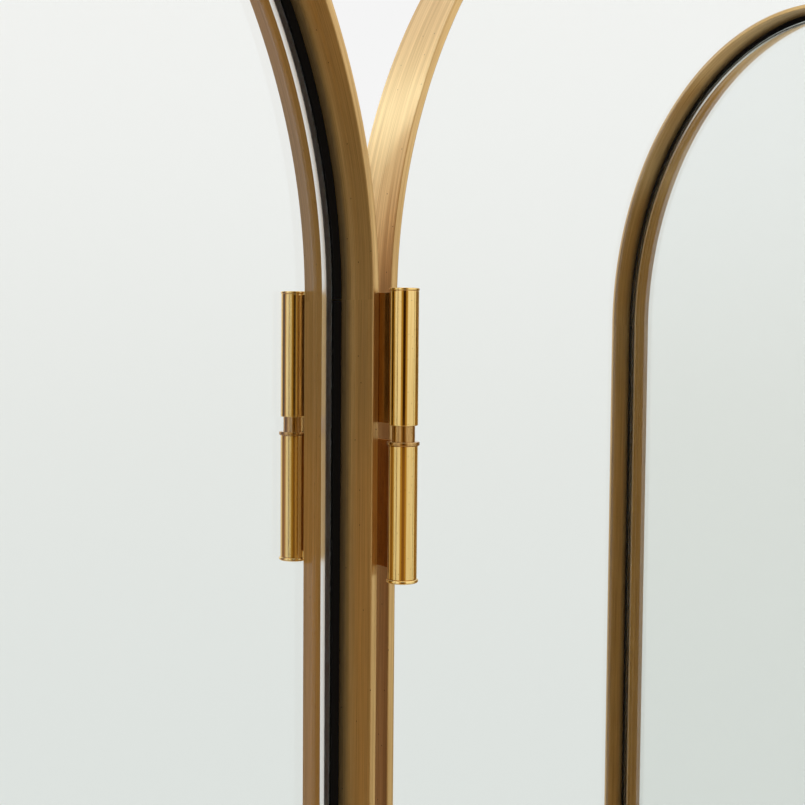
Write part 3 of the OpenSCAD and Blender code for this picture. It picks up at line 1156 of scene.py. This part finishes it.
@dataclass(frozen=True)
class DimScreen:
    """A dim glowing screen behind the camera, which only brass sees: its colours are painted reflections of a
    shaded room.

    Attributes:
        middle: Its middle on the floor, in metres.
        azimuth: Direction in which it faces away from the divider, in degrees.
        height: Its height, in metres.
        half_width: Half of its width, in metres.
        core: Half of the width of its dark middle, where that starts and stops to fade, in metres.
        warm: Half of the width of its warm part, where that starts and stops to fade, in metres.
        level: Height up to which its middle is brown, in metres.
        glow_colour: Colour of the warm part.
        dark: Colour of the middle above that height.
        brown: Colour of the middle below it.
    """

    middle: tuple[float, float] = (-0.452, -0.421)
    azimuth: float = 238.5
    height: float = 2.3
    half_width: float = 0.46
    core: tuple[float, float] = (0.08, 0.22)
    warm: tuple[float, float] = (0.29, 0.43)
    level: tuple[float, float] = (1.42, 1.46)
    # The screen's colours are emitted light: painted reflections of a shaded room, for the brass
    glow_colour: str = "#B59546"
    dark: str = "#2F1704"
    brown: str = "#85602F"

    def material(self) -> Material:
        """Build the screen's glow, painted reflections for the brass; the screen lets through every ray that
        no brass has thrown back.
        """
        material, tree = blank("screen_glow_painted_reflection")
        place = put(tree, "SeparateXYZ", {"Vector": put(tree, "TexCoord", {}).outputs["Object"]})
        side = put(tree, "Math", {0: place.outputs["X"]}, operation="ABSOLUTE")
        core, warm, level = [
            put(tree, "MapRange", {"Value": value, "From Min": start, "From Max": stop, "To Min": low,
                                   "To Max": 1 - low}, **SMOOTH)
            for value, (start, stop), low in (
                (side, self.core, 1.0), (side, self.warm, 1.0), (place.outputs["Z"], self.level, 0.0))]
        # The brown and dark middle is painted shade, seen only in the brass
        middle = put(tree, "Mix", {"Factor": level, 6: linear(self.brown), 7: linear(self.dark)},
                     data_type="RGBA")
        glow_colour = put(tree, "Mix", {"Factor": core, 6: linear(self.glow_colour), 7: middle}, data_type="RGBA")
        seen = put(tree, "Math", {0: warm, 1: via_brass(tree)}, operation="MULTIPLY")
        glow = put(tree, "Emission", {"Color": glow_colour, "Strength": 1.0})
        mixed = put(tree, "MixShader", {0: seen, 1: put(tree, "BsdfTransparent", {}), 2: glow})
        put(tree, "OutputMaterial", {"Surface": mixed})
        return material

    def build(self) -> None:
        """Stand the screen up, out of the way of the camera, the lamp and the floor."""
        mesh = bpy.data.meshes.new("dim_screen")
        wide = self.half_width
        mesh.from_pydata([(-wide, 0, 0), (wide, 0, 0), (wide, 0, self.height), (-wide, 0, self.height)], [],
                         [(0, 1, 2, 3)])
        mesh.materials.append(self.material())
        screen = stood("dim_screen", mesh, Matrix.Translation((*self.middle, 0))
                       @ Matrix.Rotation(math.radians(self.azimuth + 90), 4, "Z"))
        screen.visible_camera = False
        screen.visible_diffuse = False
        screen.visible_shadow = False


@dataclass(frozen=True)
class Studio:
    """A pale room with soft light, its floor, and the camera.

    Attributes:
        backdrop: Colour of the room where the camera sees it.
        fill: Colour of its even light.
        walls: Colours of its walls low down and high up, as shiny surfaces see them.
        wall_fade: Elevations between which the one turns to the other, in degrees.
        floor_fade: Share of the floor's radius at which it starts to fade out.
        lamp_aim: Point that the lamp faces.
        heading: Turn of the camera from +Y about Z, in degrees.
        pitch: Its tilt up, in degrees.
        roll: Its turn about its own line of sight, in degrees.
    """

    backdrop: str = "#F5F5F5"
    fill: str = "#D8D8D8"
    walls: tuple[str, str] = ("#E7EBE9", "#FFFDFB")
    wall_fade: tuple[float, float] = (-25.0, 30.0)
    camera_at: tuple[float, float, float] = (-0.332945, -0.176794, 1.53574)
    heading: float = -33.259
    pitch: float = -2.881
    roll: float = 0.489
    lens: float = 57.664
    sensor: float = 36.0
    clip: float = 0.01
    floor_r: float = 2.4
    floor_fade: float = 0.45
    floor_colour: str = "#F1F1F1"
    floor_flats: int = 96
    lamp_at: tuple[float, float, float] = (-0.9, -2.2, 3.2)
    lamp_aim: tuple[float, float, float] = (0.0, 0.0, 0.9)
    lamp_size: tuple[float, float] = (2.4, 1.6)
    lamp_watts: float = 60.0
    screen: DimScreen = DimScreen()
    glows: tuple[Glow, ...] = (
        # The upper part of the room is a little brighter all round.
        Glow(0.0, 3.0, 90.0, 180.0, 181.0, 9.0, "#F2F7FF", 1.3),
        # Behind the divider it is dim and warm below eye level.
        Glow(80.0, -90.0, 2.0, 10.0, 34.0, 6.0, "#8A6A3C", 1.0),
        # A small window of daylight, high up behind the left wing.
        Glow(151.0, 29.0, 38.5, 3.0, 10.0, 6.0, "#B2D4FF", 33.0),
    )

    def build_camera(self) -> None:
        """Stand the camera where the view was taken from, and use it."""
        data = bpy.data.cameras.new("viewer")
        data.lens = self.lens
        data.sensor_width = self.sensor
        data.clip_start = self.clip
        bpy.context.scene.camera = stood("viewer", data, Matrix.Translation(self.camera_at)
                                         @ Matrix.Rotation(math.radians(self.heading), 4, "Z")
                                         @ Matrix.Rotation(math.radians(90 + self.pitch), 4, "X")
                                         @ Matrix.Rotation(math.radians(self.roll), 4, "Z"))

    def build_floor(self) -> None:
        """Lay a pale round floor that fades out into the backdrop."""
        mesh = bpy.data.meshes.new("floor")
        work = bmesh.new()
        bmesh.ops.create_circle(work, cap_ends=True, segments=self.floor_flats, radius=self.floor_r)
        work.to_mesh(mesh)
        work.free()
        material, tree = blank("floor_painted_pale")
        away = put(tree, "VectorMath", {0: put(tree, "TexCoord", {}).outputs["Object"]}, operation="LENGTH")
        fade = put(tree, "MapRange", {"Value": away, "From Min": self.floor_r * self.floor_fade,
                                      "From Max": self.floor_r}, **SMOOTH)
        paint = put(tree, "BsdfDiffuse", {"Color": linear(self.floor_colour)})
        mixed = put(tree, "MixShader", {0: fade, 1: paint, 2: put(tree, "BsdfTransparent", {})})
        put(tree, "OutputMaterial", {"Surface": mixed})
        mesh.materials.append(material)
        stood("floor", mesh, Matrix())

    def build_lamp(self) -> None:
        """Hang one broad soft lamp in front of the divider, which throws its soft shadow."""
        data = bpy.data.lights.new("soft_lamp", "AREA")
        data.shape = "RECTANGLE"
        data.size, data.size_y = self.lamp_size
        data.energy = self.lamp_watts
        aim = (Vector(self.lamp_aim) - Vector(self.lamp_at)).to_track_quat("-Z", "Y")
        lamp = stood("soft_lamp", data, Matrix.Translation(self.lamp_at) @ aim.to_matrix().to_4x4())
        lamp.visible_camera = False
        lamp.visible_transmission = False
        lamp.visible_glossy = False

    def build_world(self) -> None:
        """Build the room: even for soft light, pale in the mirrors, with its glows for the brass."""
        world = bpy.data.worlds.new("pale_room")
        bpy.context.scene.world = world
        world.use_nodes = True
        tree = world.node_tree
        tree.nodes.clear()
        parts = put(tree, "SeparateXYZ", {"Vector": put(tree, "TexCoord", {}).outputs["Generated"]})
        flat = put(tree, "CombineXYZ", {"X": parts.outputs["X"], "Y": parts.outputs["Y"]})
        level = put(tree, "VectorMath", {0: flat}, operation="NORMALIZE")
        rise = put(tree, "Math", {0: parts.outputs["Z"]}, operation="ARCSINE")
        height = put(tree, "Math", {0: rise}, operation="DEGREES")
        # The walls grow a little paler and warmer from the floor up.
        low, high = self.wall_fade
        steps = put(tree, "MapRange", {"Value": height, "From Min": low, "From Max": high}, **SMOOTH)
        walls = put(tree, "Mix", {"Factor": steps, 6: linear(self.walls[0]), 7: linear(self.walls[1])},
                    data_type="RGBA")
        shiny = walls
        for glow in self.glows:
            red, green, blue, _ = linear(glow.colour)
            lit = (red * glow.strength, green * glow.strength, blue * glow.strength, 1)
            shiny = put(tree, "Mix", {"Factor": glow.mask(tree, level, height), 6: shiny, 7: lit},
                        data_type="RGBA")
        # A mirror that is looked into shows plain walls, and one seen in brass shows the glows too.
        mirrored = put(tree, "Mix", {"Factor": via_brass(tree), 6: walls, 7: shiny}, data_type="RGBA")
        rays = put(tree, "LightPath", {})
        colour = linear(self.fill)
        for ray, room in (("Is Glossy Ray", shiny), ("Is Transmission Ray", mirrored),
                          ("Is Camera Ray", linear(self.backdrop))):
            colour = put(tree, "Mix", {"Factor": rays.outputs[ray], 6: colour, 7: room}, data_type="RGBA")
        put(tree, "OutputWorld", {"Surface": put(tree, "Background", {"Color": colour, "Strength": 1.0})})

    def build(self) -> None:
        """Set up the room, the lamp, the floor and the camera."""
        self.build_world()
        self.build_lamp()
        self.build_floor()
        self.screen.build()
        self.build_camera()
        bpy.context.scene.view_settings.view_transform = "Standard"


def main() -> None:
    """Build the divider and its studio."""
    logging.basicConfig(level=logging.INFO, format="%(message)s")
    Studio().build()
    Divider(Palette.mixed()).build()
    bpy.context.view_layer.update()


if __name__ == "__main__":
    main()
